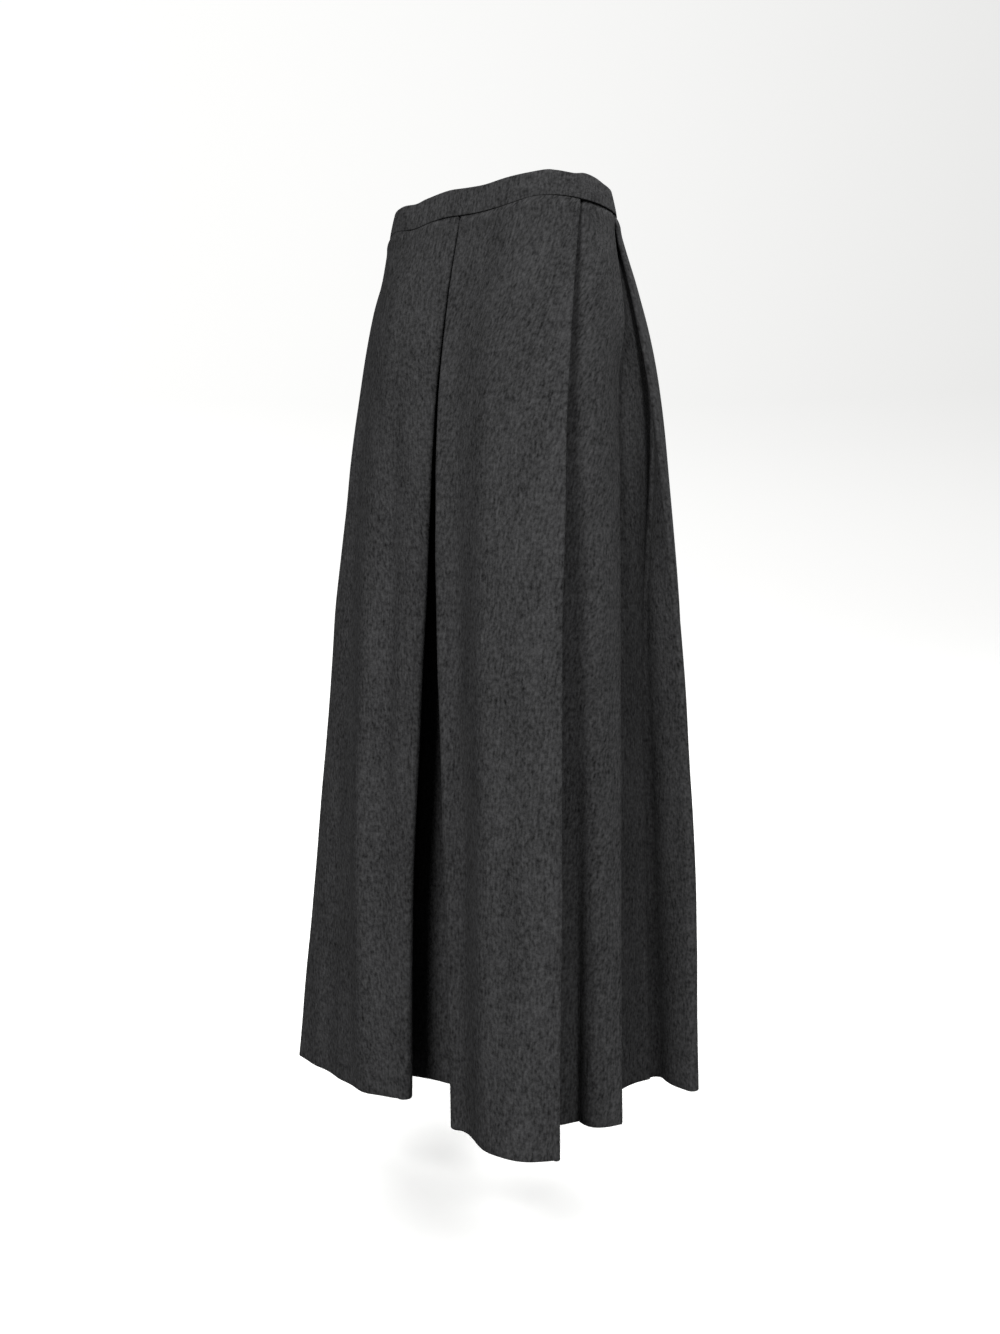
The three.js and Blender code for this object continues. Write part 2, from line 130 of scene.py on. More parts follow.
FRONT = [
    Fold("right side seam", -195, 0, (0, 0), "", 5, 1.25,
         [(-139, -18), (-147, -8), (-163, 10), (-179, 30), (-193, 47)], [12, 12, 10, 9, 8], 8),
    Fold("under right knife fold", -144, 6, (0, 0), "", 2, 1,
         [(-128, 37), (-137, 52), (-146, 66), (-154, 75), (-163, 82)], [2, 2, 2, 2, 2]),
    Fold("right knife pleat, inner fold", -112, 4.5, (1.5, 8), "before", 3, 1,
         [(-108, 60), (-114, 71), (-119, 79), (-123, 85), (-127, 92)], [0, 1, 0, 0, 0]),
    Fold("right knife pleat, edge", -142, 1.5, (1.5, 7), "before", 11, 1.05,
         [(-136, 52), (-149, 66), (-163, 84), (-178, 99), (-196, 113)], [18, 14, 12, 11, 11]),
    Fold("centre pleat, right edge", 3.4, 1.5, (1.5, 7), "after", 3, 1,
         [(-4, 80), (-12, 92), (-14, 106), (-18, 120), (-12, 134)], [0, 0, 0, 0, 0]),
    Fold("centre pleat, right inner fold", -32, 4.5, (1.5, 9), "after", 8, 1,
         [(-36, 68), (-46, 66), (-58, 62), (-68, 72), (-74, 92)], [-1, -2, -6, -12, -16]),
    Fold("centre pleat, left inner fold", 40, 4.5, (1.5, 9), "before", 3, 1,
         [(40, 70), (46, 74), (58, 74), (78, 82), (98, 99)], [0, 0, 0, 0, 0]),
    Fold("centre pleat, left edge", 6.2, 1.5, (1.5, 8), "before", 10, 1.6,
         [(1, 81), (-2, 95), (14, 115), (43, 137), (69, 157)], [18, 15, 15, 18, 22]),
    Fold("left knife pleat, edge", 142, 1.5, (1.5, 3.5), "after", 3, 1,
         [(134, 50), (145, 75), (163, 106), (181, 132), (196, 153)], [0, 1, 0, 0, 0]),
    Fold("left knife pleat, inner fold", 112, 4.5, (1.5, 8), "after", 2, 1,
         [(108, 58), (113, 77), (120, 96), (124, 109), (128, 118)], [2, 2, 2, 2, 2]),
    Fold("under left knife fold", 144, 6, (0, 0), "", 5, 0.8,
         [(127, 36), (136, 49), (145, 57), (151, 62), (156, 67)], [12, 12, 13, 14, 15], 0.12),
    Fold("left side seam", 195, 0, (0, 0), "", 0, 1,
         [(139, -18), (147, -8), (163, 10), (179, 30), (193, 47)], [0, 0, 0, 0, 0]),
]

BACK = [
    Fold("side seam", 195, 2.6, (0, 0), "", 3, 1,
         [(136.4, -18), (144.4, -8.6), (160.6, 9), (176.9, 28.6), (191, 45.3)], [-1, -1, 0, 2, 3]),
    Fold("side pleat, front inner fold", 170, 10.5, (1.5, 14), "after", 4, 1,
         [(125, 2), (135, 3), (142, 8), (140, 13), (138, 18)], [7, 7, 4, 0, -4]),
    Fold("side pleat, back inner fold", 226, 4.5, (1.5, 8), "before", 5, 1,
         [(133, -60), (147, -71), (142, -67), (145, -75), (149, -82)], [-1, -1, -1, -2, -3]),
    Fold("side pleat, back edge", 199.6, 1.5, (1.5, 7), "before", 8, 1,
         [(143, -40), (163, -53), (185, -62), (200, -68), (204, -73)], [22, 24, 22, 18, 16], 3),
    Fold("under back knife fold", 270, 6, (0, 0), "", 2, 1,
         [(78, -78), (92, -96), (99, -104), (106, -110), (112, -116)], [0, 0, 0, 0, 0]),
    Fold("back knife pleat, inner fold", 302, 4.5, (1.5, 8), "before", 3, 1,
         [(46, -81), (56, -99), (62, -106), (70, -113), (78, -121)], [0, 0, 0, 0, 0]),
    Fold("back knife pleat, edge", 272, 1.5, (1.5, 7), "before", 7, 1,
         [(77, -85), (92, -106), (101, -118), (112, -133), (123, -147)], [3, 3, 4, 5, 6]),
    Fold("centre back", BACK_EDGE_RUN, 0, (0, 0), "", 0, 1,
         [(BACK_EDGE_X, y) for y in (-88, -111, -122, -137, -153)], [0, 0, 0, 0, 0]),
]


class Crease(NamedTuple):
    """A soft trough (depth > 0) or ridge (< 0) down a stretch of cloth."""
    stretch: str
    path: list          # (drop, place across the stretch from 0 to 1, half width, depth)


CREASES = [
    # the wearer's right front panel
    Crease("right knife pleat, edge",
           [(60, 0.14, 14, 0), (200, 0.15, 15, 3), (350, 0.18, 16, 4), (450, 0.21, 17, 4.4),
            (620, 0.27, 18, 5), (780, 0.31, 19, 4.4), (900, 0.33, 20, 3)]),
    Crease("right knife pleat, edge",
           [(200, 0.46, 14, 0), (350, 0.5, 17, -4.4), (500, 0.58, 19, -9), (650, 0.66, 20, -11),
            (800, 0.74, 20, -10.4), (900, 0.78, 20, -8)]),
    Crease("right knife pleat, edge",
           [(90, 0.62, 11, 0), (220, 0.67, 11, 3), (350, 0.72, 11, 4.4), (500, 0.77, 11, 4.8),
            (650, 0.82, 11, 4), (800, 0.86, 12, 2.4), (900, 0.88, 13, 1)]),
    Crease("right knife pleat, edge",
           [(0, 0.93, 8, 0), (200, 0.93, 10, -1), (400, 0.92, 12, -2), (900, 0.9, 18, -3)]),
    # the middle panel
    Crease("centre pleat, left edge",
           [(60, 0.12, 11, 0), (160, 0.13, 12, 3), (280, 0.14, 13, 5), (420, 0.14, 14, 6),
            (560, 0.13, 14, 6), (720, 0.11, 13, 4.6), (900, 0.08, 13, 2)]),
    Crease("centre pleat, left edge",
           [(40, 0.4, 14, 0), (150, 0.43, 15, -3.4), (290, 0.45, 17, -6), (430, 0.46, 19, -8),
            (570, 0.46, 20, -9), (720, 0.44, 21, -9), (900, 0.42, 22, -7)]),
    Crease("centre pleat, left edge",
           [(380, 0.62, 20, 0), (560, 0.6, 20, 2), (720, 0.58, 20, 3.2), (900, 0.56, 22, 2.4)]),
    Crease("centre pleat, left edge",
           [(380, 0.86, 16, 0), (560, 0.86, 17, -1.6), (720, 0.87, 17, -2.6), (900, 0.88, 18, -2)]),
    # the panels at the side fronts, before and behind the pockets
    Crease("under left knife fold",
           [(110, 0.5, 9, 0), (165, 0.55, 9, 0.9), (215, 0.86, 9, 0.8), (250, 0.95, 9, 0)]),
    Crease("under left knife fold",
           [(180, 0.5, 14, 0), (420, 0.55, 15, 1.4), (700, 0.5, 16, 1.8), (900, 0.5, 18, 2)]),
    Crease("right side seam",
           [(180, 0.5, 14, 0), (420, 0.46, 15, 1.2), (700, 0.5, 16, 1.6), (900, 0.5, 18, 2)]),
    # the back
    Crease("side pleat, back edge",
           [(60, 0.45, 16, 0), (200, 0.45, 16, 2), (400, 0.47, 20, 4), (650, 0.5, 24, 6),
            (900, 0.5, 26, 7)]),
    Crease("side pleat, back edge",
           [(180, 0.72, 12, 0), (360, 0.76, 14, 1.8), (560, 0.8, 16, 1.2), (760, 0.82, 18, 0)]),
    Crease("back knife pleat, edge",
           [(40, 0.5, 14, 0), (200, 0.5, 16, 2), (400, 0.48, 18, 4), (650, 0.46, 22, 5),
            (900, 0.45, 24, 6)]),
    Crease("back knife pleat, edge",
           [(260, 0.78, 12, 0), (460, 0.74, 14, 1.6), (700, 0.76, 16, 2), (900, 0.78, 18, 1.6)]),
]

# how far the waist seam and the band's top edge lift off a level line: (run, lift)
SEAM_LIFT = [(-341, 0), (-290, 1.4), (-240, -1.2), (-190, 1.2), (-140, -1), (-97, 1.8), (-62, -2.8),
             (-34, -0.5), (-10, 0), (9, -1.6), (30, -2.7), (54, -1.9), (73, 0.4), (90, 3.1),
             (104, 3.7), (129, 2.7), (147, 2), (168, 2), (189, 1.1), (230, -0.8), (285, 1.2), (341, 0)]
TOP_LIFT = [(-341, 0), (-270, 1.6), (-200, -0.6), (-140, 1), (-88, 1.8), (-64, -1), (-48, 0.7),
            (-14, 2.8), (10, 0.8), (34, -0.5), (60, 1.5), (87, 2.7), (107, 3.9), (116, 3),
            (137, 1.3), (153, 3.9), (170, 3.4), (188, 0.6), (235, -0.8), (290, 1.2), (341, 0)]
LIFT_REACH = 45        # the seam's waves die out this far down the skirt

# the pocket mouth: the front's side edge stands off a little, the seam closes again below it
MOUTH = [(0, 0), (30, 0.6), (60, 2.4), (95, 5.2), (118, 5.6), (140, 3.4), (160, 0.8), (185, 0)]
MOUTH_REACH = 14       # across the panel

# the flat pocket bag: drop, and how much of the side panel it lies behind, 0 at the mouth
POCKET_ROWS = [(6, 0.25, 0.8), (50, 0.25, 0.86), (100, 0.25, 0.88), (150, 0.25, 0.88),
               (200, 0.25, 0.88), (245, 0.28, 0.84), (275, 0.32, 0.72), (288, 0.42, 0.6)]
POCKET_STEPS, POCKET_LINES = 24, 30
POCKET_CLEAR = 3.4     # from the panel's middle to the bag's

ZIP_TOP, ZIP_LENGTH, ZIP_HALF_WIDTH = 4, 190, 11
ZIP_STEPS, ZIP_LINES = 16, 40
ZIP_CLEAR = 0.8 + SEAM_GAP + ZIP_TAPE / 2 + 0.3    # from the seam's middle to the tape's


# ---- small maths --------------------------------------------------------------------

def mix(a, b, t):
    return a + (b - a) * t


def unit(v):
    return v / abs(v)


def ease_in_out(t):
    t = min(max(t, 0), 1)
    return t * t * (3 - 2 * t)


def bell(distance, reach):
    """A soft bump: 1 at no distance, about a third of that at its reach."""
    return math.exp(-((distance / reach) ** 2))


def smooth(places, values, at):
    """Smooth curve through values at the given places (a cubic with finite-difference slopes)."""
    last = len(places) - 1

    def slope(i):
        a, b = max(i - 1, 0), min(i + 1, last)
        return (values[b] - values[a]) / (places[b] - places[a])

    i = min(max(bisect.bisect_left(places, at) - 1, 0), last - 1)
    span = places[i + 1] - places[i]
    t = (at - places[i]) / span
    t2, t3 = t * t, t * t * t
    return ((2 * t3 - 3 * t2 + 1) * values[i] + (t3 - 2 * t2 + t) * span * slope(i)
            + (3 * t2 - 2 * t3) * values[i + 1] + (t3 - t2) * span * slope(i + 1))


def along(table, at):
    """Smooth curve through a table of (place, value), held level past its ends."""
    places = [place for place, _ in table]
    at = min(max(at, places[0]), places[-1])
    return smooth(places, [value for _, value in table], at)


def make_ring(count=1440):
    """The waist seam as points and their places by arc length, from the centre front round."""
    def power(v):
        return math.copysign(abs(v) ** (2 / SQUARENESS), v)

    points = []
    for k in range(count + 1):
        a = 2 * math.pi * k / count
        points.append(complex(HALF_WIDTH * power(math.sin(a)), -HALF_DEPTH * power(math.cos(a))))
    runs = [0.0]
    for before, after in zip(points, points[1:]):
        runs.append(runs[-1] + abs(after - before))
    return points, runs


RING_POINTS, RING_RUNS = make_ring()
RING_AROUND = RING_RUNS[-1]


def on_ring(run, inset):
    """Point on the waist seam at a run, moved inside it by an inset."""
    at = run % RING_AROUND
    k = min(bisect.bisect_right(RING_RUNS, at), len(RING_RUNS) - 1) - 1
    a, b = RING_POINTS[k], RING_POINTS[k + 1]
    t = (at - RING_RUNS[k]) / (RING_RUNS[k + 1] - RING_RUNS[k])
    return mix(a, b, t) + 1j * unit(b - a) * inset


def wrapped(run):
    """A run kept between the two halves of the ring, for the tables of lifts."""
    return (run + RING_AROUND / 2) % RING_AROUND - RING_AROUND / 2


# ---- sections of the skirt ----------------------------------------------------------

def line_point(fold, drop):
    """Place of a fold line at a drop."""
    top = on_ring(fold.run, fold.inset)
    x = smooth(STATIONS, [top.real, *(p[0] for p in fold.at)], drop)
    y = smooth(STATIONS, [top.imag, *(-p[1] for p in fold.at)], drop)
    return complex(x, y)


def turn_points(before, fold, after, drop):
    """The round of one fold, from the arriving layer to the leaving one."""
    tip = line_point(fold, drop)
    if not fold.under:
        return [tip]
    radius = mix(*fold.turn, drop / SKIRT_LENGTH)
    heading = math.copysign(1, fold.run - before.run)
    ahead = unit(on_ring(fold.run + 1, fold.inset) - on_ring(fold.run - 1, fold.inset)) * heading
    arriving = unit(tip - line_point(before, drop))
    leaving = unit(line_point(after, drop) - tip)
    out = unit(mix(unit(arriving - leaving), ahead, max(0, 1 - drop / PRESSED)))
    across = 1j * out * heading * (1 if fold.under == "after" else -1)
    centre = tip - out * radius
    points = []
    for k in range(FOLD_COLUMNS):
        a = math.pi * (k / (FOLD_COLUMNS - 1) - 0.5)
        points.append(centre + radius * (out * math.cos(a) + across * math.sin(a)))
    return points


def layer_inset(fold, leaving):
    """Layer inset at the waist where a stretch leaves (or reaches) a fold line."""
    if not fold.under:
        return fold.inset
    return fold.inset + (LAYER if (fold.under == "after") == leaving else -LAYER)


def crease_depth(stretch, s, drop, chord):
    """How far the creases of a stretch press its cloth in."""
    total = 0
    for crease in CREASES:
        if crease.stretch != stretch:
            continue
        drops = [p[0] for p in crease.path]
        if not drops[0] <= drop <= drops[-1]:
            continue
        place, half_width, depth = (smooth(drops, [p[k] for p in crease.path], drop)
                                    for k in (1, 2, 3))
        total += depth * bell((s - place) * chord, half_width)
    return total


def stretch_point(fold, following, start, end, s, drop):
    """One point between two folds: on the seam's curve at the waist, crowned and creased below."""
    chord = end - start
    inset_a, inset_b = layer_inset(fold, True), layer_inset(following, False)
    inset = mix(inset_a, inset_b, s ** fold.ease)
    flat = mix(on_ring(fold.run, inset_a), on_ring(following.run, inset_b), s)
    at_waist = on_ring(mix(fold.run, following.run, s), inset) - flat
    outward = -1j * unit(chord) * math.copysign(1, following.run - fold.run)
    rise = math.sin(math.pi * s ** fold.skew)
    crown = smooth(STATIONS, [0, *fold.crown], drop) * rise
    crown -= crease_depth(fold.name, s, drop, abs(chord))
    fade = max(smooth(STATIONS, [1, 0, 0, 0, 0, 0], drop), 0)
    return start + chord * s + outward * crown + at_waist * fade


def section(table, drop):
    """A piece cut through at a drop: (plan point, run at the waist, inset at the waist)."""
    turns = []
    last = len(table) - 1
    for i, fold in enumerate(table):
        turns.append(turn_points(table[max(i - 1, 0)], fold, table[min(i + 1, last)], drop))
    cut = []
    for i, fold in enumerate(table):
        cut += [(point, fold.run, fold.inset) for point in turns[i]]
        if not fold.steps:
            continue
        following = table[i + 1]
        count = fold.steps * STEP_SPLIT
        for k in range(1, count):
            s = k / count
            point = stretch_point(fold, following, turns[i][-1], turns[i + 1][0], s, drop)
            inset = mix(layer_inset(fold, True), layer_inset(following, False), s ** fold.ease)
            cut.append((point, mix(fold.run, following.run, s), inset))
    return cut


def rightward(points):
    """Unit vectors to the right of a line of plan points: out of the skirt where it isn't folded."""
    edges = [unit(b - a) for a, b in zip(points, points[1:])]
    sides = []
    for i in range(len(points)):
        both = edges[max(i - 1, 0)] + edges[min(i, len(edges) - 1)]
        sides.append(-1j * both * 2 / max(abs(both) ** 2, MITRE))
    return sides


# ---- cloth --------------------------------------------------------------------------

def arc_places(points, zero):
    """Distance along a line of points, counted from the point with index zero."""
    places = [0.0]
    for a, b in zip(points, points[1:]):
        places.append(places[-1] + (b - a).length)
    return [place - places[zero] for place in places]


def lay_cloth(name, rows, lengths, weights, thickness, zero):
    """A grid of cloth on rows of points, bottom row first, given its thickness by Solidify.

    lengths are the rows' places down the cloth and weights their share of the thickness.
    The UV map is the cloth laid flat, in metres, with the column zero as its straight grain.
    """
    columns = len(rows[0])
    bm = bmesh.new()
    bmesh.ops.create_grid(bm, x_segments=columns - 1, y_segments=len(rows) - 1, size=1)
    bm.verts.ensure_lookup_table()
    layer = bm.loops.layers.uv.new("cloth")
    flat = []
    for r, row in enumerate(rows):
        places = arc_places(row, zero)
        for c, point in enumerate(row):
            bm.verts[r * columns + c].co = point * MM
            flat.append((places[c] * MM, lengths[r] * MM))
    for face in bm.faces:
        face.smooth = True
        for loop in face.loops:
            loop[layer].uv = flat[loop.vert.index]
    mesh = bpy.data.meshes.new(name)
    bm.to_mesh(mesh)
    bm.free()
    piece = bpy.data.objects.new(name, mesh)
    bpy.context.scene.collection.objects.link(piece)
    group = piece.vertex_groups.new(name="thickness")
    for r, weight in enumerate(weights):
        group.add(list(range(r * columns, (r + 1) * columns)), weight, "REPLACE")
    wall = piece.modifiers.new("thickness", "SOLIDIFY")
    wall.thickness = thickness * MM
    wall.offset = 0
    wall.use_even_offset = True
    wall.vertex_group = "thickness"
    return piece


def finish_piece(piece, node, material):
    """Gives a cloth piece its material, hangs it on the root body in its node's place and hides the
    node's part.
    """
    piece.data.materials.append(material)
    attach(piece, "root")
    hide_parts(node)


# rows down the skirt's cloth: closer at the waist, where it leaves the band
WAIST_ROWS = [0, 0.8, 1.8, 3, 4.6, 6.8, 9.6, 13.2, 18, 24]


def skirt_rows():
    """The cloth from the waist edge down, round the hem and up inside it.

    Each row is (share of the allowance above the seam, drop, how far behind the face, weight).
    """
    rows = [(1, 0, 0, EDGE_WEIGHT), (0.5, 0, 0, EDGE_WEIGHT)]
    rows += [(0, drop, 0, mix(SEAM_WEIGHT, 1, min(drop / SEAM_PRESS, 1))) for drop in WAIST_ROWS]
    body = SKIRT_LENGTH - CLOTH / 2 - WAIST_ROWS[-1]
    count = round(body / ROW_HEIGHT)
    turn = HEM_GAP / 2
    for k in range(1, count + 1):
        rows.append((0, WAIST_ROWS[-1] + (body - turn) * k / count, 0, 1))
    lowest = SKIRT_LENGTH - CLOTH / 2 - turn
    for k in range(1, 5):
        a = math.pi * k / 4
        rows.append((0, lowest + turn * math.sin(a), turn * (1 - math.cos(a)), 1))
    for k in range(1, 6):
        rows.append((0, lowest - HEM_TURN * k / 5, HEM_GAP, 1))
    return rows


def seam_swell(drop):
    """The cloth dips into the seam and swells a little below it."""
    (swell, swell_drop, swell_reach), (dip, dip_drop, dip_reach) = SEAM_SWELL, SEAM_DIP
    return swell * bell(drop - swell_drop, swell_reach) - dip * bell(drop - dip_drop, dip_reach)


def brushed_unevenness(place, drop, seed):
    """Slight waves that cloth keeps from wear, long down the skirt and short across it."""
    waves = sum(size * noise.noise(Vector((place / across, drop / down, seed + shift)))
                for across, down, shift, size in WEAR)
    return min(drop / WEAR_FROM, 1) * waves


def plan_places(cut):
    """Distance of each point of a section along it, from its first point."""
    places = [0.0]
    for (a, _, _), (b, _, _) in zip(cut, cut[1:]):
        places.append(places[-1] + abs(b - a))
    return places


def skirt_piece(name, table, mirrored, seed):
    """One panel of the skirt with its pleats, creases, turned-up hem and waist allowance."""
    rows, lengths, weights = [], [], []
    length = -ALLOWANCE
    previous = None
    for share, drop, behind, weight in skirt_rows():
        cut = section(table, drop)
        places = plan_places(cut)
        middle = places[-1] / 2
        outs = rightward([point for point, _, _ in cut])
        row = []
        for (point, run, inset), out, place in zip(cut, outs, places):
            push = brushed_unevenness(place - middle, drop, seed) - behind
            push += seam_swell(drop) * max(0, 1 - inset / SWELL_INSET) * (share == 0)
            if table is FRONT:
                push += along(MOUTH, drop) * bell(min(place, places[-1] - place), MOUTH_REACH)
            in_the_way = ease_in_out(1 - abs(inset - SHORT_INSET[0]) / SHORT_INSET[1])
            rise = share * mix(ALLOWANCE, SHORT_ALLOWANCE, in_the_way)
            lift = along(SEAM_LIFT, wrapped(run)) * bell(drop, LIFT_REACH)
            at = point + out * (push - BAND_TAPER * rise / BAND_HEIGHT)
            row.append(Vector((at.real, at.imag, SKIRT_TOP - drop + rise + lift)))
        if mirrored:
            row = [Vector((-p.x, p.y, p.z)) for p in reversed(row)]
        if previous:
            grain = len(row) // 2
            length += (row[grain] - previous[grain]).length
        rows.append(row)
        lengths.append(-length)
        weights.append(weight)
        previous = row
    for store in (rows, lengths, weights):
        store.reverse()
    return lay_cloth(name, rows, lengths, weights, CLOTH, len(rows[0]) // 2)


def make_skirt(flannel):
    for name, table, mirrored, seed in (("front", FRONT, False, 3), ("back_left", BACK, False, 21),
                                        ("back_right", BACK, True, 47)):
        piece = skirt_piece(f"{name}_cloth", table, mirrored, seed)
        hem = section(table, SKIRT_LENGTH)
        finish_piece(piece, name, flannel)


def band_path():
    """The folded band's section from its inner edge over the top to its outer edge.

    Each point is (outward of the band's middle, height above the seam, weight).
    """
    spread = BAND_SPREAD
    fold_from = BAND_HEIGHT - BAND_LAYER / 2 - BAND_FOLD
    heights = [*BAND_HEIGHTS, fold_from]

    def bulge(height):
        return math.sin(math.pi * height / BAND_HEIGHT)

    path = [(-spread * 0.9, 0.6, 0.8), (-spread, 2, 1)]
    path += [(-spread - BAND_BULGE_INSIDE * bulge(height), height, 1) for height in heights]
    for k in range(1, 6):
        a = math.pi * k / 6
        path.append((-spread * math.cos(a), fold_from + BAND_FOLD * math.sin(a), 1))
    path += [(spread + BAND_BULGE_OUTSIDE * bulge(height), height, 1) for height in reversed(heights)]
    # the outer layer is turned under at the seam, so it thins and draws in
    path += [(spread, 2.4, 1), (spread * 0.95, 1.2, 0.9), (spread * 0.8, 0.5, 0.8)]
    return path


def make_waistband(flannel):
    """The band: one strip folded along its top edge, its ends lapped at the centre back."""
    half = RING_AROUND / 2 + BAND_LAP / 2
    end_run, end_spread = BAND_END
    wave_run, wave_height, wave_depth = BAND_WAVE
    rows, lengths, weights = [], [], []
    length = 0
    for outward, height, weight in band_path():
        row = []
        for k in range(BAND_STEPS + 1):
            run = mix(-half, half, k / BAND_STEPS)
            under = ease_in_out(1 - (run + half - BAND_LAP) / BAND_LAP_EASE)
            end = min(run + half, half - run)
            spread = mix(end_spread / BAND_SPREAD, 1, ease_in_out(end / end_run))
            wave = noise.noise(Vector((run / wave_run, height / wave_height, 5)))
            inset = BAND_TAPER * height / BAND_HEIGHT + BAND_LAP_STEP * under
            inset -= outward * spread + wave_depth * wave
            point = on_ring(run, inset)
            share = height / BAND_HEIGHT
            lift = mix(along(SEAM_LIFT, wrapped(run)), along(TOP_LIFT, wrapped(run)), share)
            row.append(Vector((point.real, point.imag, SEAM_HEIGHT + height + lift)))
        if rows:
            length += (row[BAND_STEPS // 2] - rows[-1][BAND_STEPS // 2]).length
        rows.append(row)
        lengths.append(length)
        weights.append(weight)
    piece = lay_cloth("waistband_cloth", rows, lengths, weights, BAND_LAYER, BAND_STEPS // 2)
    # the strip starts on the inside, so its faces are turned to look out of the fold
    bm = bmesh.new()
    bm.from_mesh(piece.data)
    bmesh.ops.reverse_faces(bm, faces=bm.faces)
    bm.to_mesh(piece.data)
    bm.free()
    finish_piece(piece, "waistband", flannel)


def make_pockets(pocketing):
    """Flat pocket bags behind the side fronts, thinner along their sewn edge."""
    seam, before = FRONT[-1], FRONT[-2]
    table, starts, ends = zip(*POCKET_ROWS)
    for name, side in (("pocket_left", 1), ("pocket_right", -1)):
        rows, lengths, weights = [], [], []
        for r in range(POCKET_LINES + 1):
            drop = mix(table[0], table[-1], r / POCKET_LINES)
            start, end = smooth(table, starts, drop), smooth(table, ends, drop)
            near, far = line_point(seam, drop), line_point(before, drop)
            line = []
            for k in range(POCKET_STEPS + 1):
                behind = mix(end, start, k / POCKET_STEPS)
                line.append(stretch_point(before, seam, far, near, 1 - behind, drop))
            line = [p - out * POCKET_CLEAR for p, out in zip(line, rightward(line))]
            row = [Vector((side * p.real, p.imag, SKIRT_TOP - drop)) for p in line]
            rows.append(row if side > 0 else row[::-1])
            lengths.append(-drop)
            weights.append(mix(0.5, 1, ease_in_out(min(r, POCKET_LINES - r) / 2)))
        for store in (rows, lengths, weights):
            store.reverse()
        piece = lay_cloth(f"{name}_bag", rows, lengths, weights, POCKET_BAG, POCKET_STEPS // 2)
        finish_piece(piece, name, pocketing)


def make_zip(tape):
    """The concealed zip's tape behind the centre back seam."""
    rows, lengths, weights = [], [], []
    for r in range(ZIP_LINES + 1):
        drop = ZIP_TOP + ZIP_LENGTH * (1 - r / ZIP_LINES)
        y = line_point(BACK[-1], drop).imag - ZIP_CLEAR
        xs = [mix(-ZIP_HALF_WIDTH, ZIP_HALF_WIDTH, k / ZIP_STEPS) for k in range(ZIP_STEPS + 1)]
        rows.append([Vector((x, y, SKIRT_TOP - drop)) for x in xs])
        lengths.append(-drop)
        weights.append(1)
    piece = lay_cloth("zip_tape", rows, lengths, weights, ZIP_TAPE, ZIP_STEPS // 2)
    finish_piece(piece, "back_zip", tape)


# ---- finishes -----------------------------------------------------------------------

def linear(colour):
    """An sRGB hex colour as linear red, green, blue and full alpha."""
    values = []
    for k in (0, 2, 4):
        c = int(colour[k:k + 2], 16) / 255
        values.append(c / 12.92 if c <= 0.04045 else ((c + 0.055) / 1.055) ** 2.4)
    return (*values, 1)


def add_node(tree, kind, sockets=None, **settings):
    """Adds a node with its settings; a socket takes a value or another node's output."""
    node = tree.nodes.new(kind)
    for key, value in settings.items():
        setattr(node, key, value)
    for key, value in (sockets or {}).items():
        if isinstance(value, bpy.types.NodeSocket):
            tree.links.new(value, node.inputs[key])
        else:
            node.inputs[key].default_value = value
    return node


def new_material(name):
    material = bpy.data.materials.new(name)
    material.use_nodes = True
    material.node_tree.nodes.clear()
    return material, material.node_tree


# Grains of wool: width and length in millimetres of cloth, how narrow a middle of the noise is
# stretched to the whole range, and the share of the sum. Single fibres are 0.02 mm and would not
# show, so the flecks are drawn as the coarser tufts that they form.
FLECKS = [(1.3, 1.9, 0.17, 0.42), (1.1, 6, 0.15, 0.26), (2.6, 5, 0.15, 0.2), (14, 45, 0.15, 0.12)]
NAP = [(0.6, 0.8, 0.2, 1)]
DARK_WOOL, PALE_WOOL = "111111", "4f4f50"


def mottle(tree, cloth_map, sizes):
    """Soft grains of several sizes laid over each other, from 0 to 1."""
    total = 0
    for width, length, contrast, share in sizes:
        scale = (0.5 / (width * MM), 0.5 / (length * MM), 1)
        laid = add_node(tree, "ShaderNodeMapping", {"Vector": cloth_map, "Scale": scale})
        noise_node = add_node(tree, "ShaderNodeTexNoise",
                              {"Vector": laid.outputs["Vector"], "Scale": 1, "Detail": 2})
        even = add_node(tree, "ShaderNodeMapRange",
                        {"Value": noise_node.outputs["Fac"],
                         "From Min": 0.5 - contrast, "From Max": 0.5 + contrast})
        summed = add_node(tree, "ShaderNodeMath", {0: even.outputs["Result"], 1: share, 2: total},
                          operation="MULTIPLY_ADD")
        total = summed.outputs[0]
    return total


def make_flannel():
    """Brushed melange wool flannel: light and dark wool spun together, then milled and raised.

    It shows fine pale and dark flecks, a little longer down the cloth than across, drifting patches
    of both, no gloss, and a faint pale bloom from the nap where the cloth turns away.
    """
    material, tree = new_material("melange wool flannel")
    cloth_map = add_node(tree, "ShaderNodeUVMap", uv_map="cloth").outputs["UV"]
    wool = mottle(tree, cloth_map, FLECKS)
    mixed = add_node(tree, "ShaderNodeMix", {0: wool, 6: linear(DARK_WOOL), 7: linear(PALE_WOOL)},
                     data_type="RGBA")
    nap = mottle(tree, cloth_map, NAP)
    bump = add_node(tree, "ShaderNodeBump", {"Height": nap, "Strength": 0.4, "Distance": 0.5 * MM})
    shader = add_node(tree, "ShaderNodeBsdfPrincipled", {
        "Base Color": mixed.outputs[2], "Roughness": 0.95, "Specular IOR Level": 0.06,
        "Sheen Weight": 0.012, "Sheen Roughness": 0.6, "Sheen Tint": linear("c8c8c8"),
        "Normal": bump.outputs["Normal"]})
    add_node(tree, "ShaderNodeOutputMaterial", {"Surface": shader.outputs["BSDF"]})
    return material


WAVES = 0.314          # a wave texture of this scale makes one wave in each unit


